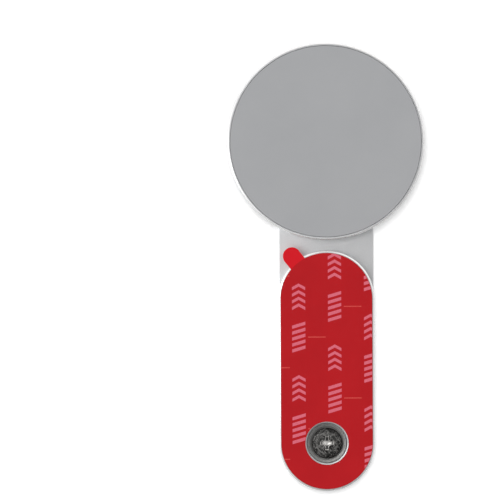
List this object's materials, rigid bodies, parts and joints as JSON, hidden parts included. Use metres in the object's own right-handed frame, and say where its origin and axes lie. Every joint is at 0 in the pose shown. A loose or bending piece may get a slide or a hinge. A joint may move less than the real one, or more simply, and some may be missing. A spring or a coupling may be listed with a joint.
{
  "type": "magnetic phone holder",
  "caption": "Flat magnetic phone holder for a laptop lid: a round magnetic head on an arm that swings on a screw pivot over an adhesive base plate.",
  "frame": {"origin": "the middle of the outline seen from above, on the surface that the arm's back lies on", "axes": "+Z out of the pad's face and the tape's face, +Y from the pivot towards the head's centre, +X to the right with the pad facing the viewer"},
  "size_m": [0.058, 0.1322, 0.0073],
  "materials": {
    "aluminium": "fine bead-blasted and anodised silver, with bright turned chamfers",
    "foam_tape": "closed-cell foam, matte",
    "red_film": "smooth red film, slightly glossy, with pale printed marks",
    "grey_pad": "matte grey soft-touch sheet",
    "dark_steel": "dark nickel plating, worn bright in the cross recess",
    "washer_steel": "turned spring steel",
    "plated_steel": "zinc plating",
    "nickel_plating": "bright nickel plating on sintered magnets",
    "white_nylon": "natural nylon",
    "black_moulding": "black moulded plastic, fine spark texture"
  },
  "bodies": {
    "base": {"base_plate": "aluminium", "adhesive_tape": "foam_tape", "release_liner": "red_film"},
    "arm": {"arm_plate": "aluminium", "pivot_stud": "plated_steel", "friction_washer": "white_nylon", "pivot_cup_washer": "washer_steel", "pivot_screw": "dark_steel", "disc_housing": "aluminium", "face_pad": "grey_pad", "magnet_carrier": "black_moulding", "yoke_ring": "plated_steel", "housing_screw_1": "plated_steel", "housing_screw_2": "plated_steel", "housing_screw_3": "plated_steel", "magnet_01": "nickel_plating", "magnet_02": "nickel_plating", "magnet_03": "nickel_plating", "magnet_04": "nickel_plating", "magnet_05": "nickel_plating", "magnet_06": "nickel_plating", "magnet_07": "nickel_plating", "magnet_08": "nickel_plating", "magnet_09": "nickel_plating", "magnet_10": "nickel_plating", "magnet_11": "nickel_plating", "magnet_12": "nickel_plating", "magnet_13": "nickel_plating", "magnet_14": "nickel_plating", "magnet_15": "nickel_plating", "magnet_16": "nickel_plating"}
  },
  "joints": [
    {"name": "arm_swing", "type": "hinge", "parent": "base", "child": "arm", "pos_m": [0, -0.05192, 0.0026], "axis": [0, 0, 1], "continuous": true}
  ]
}
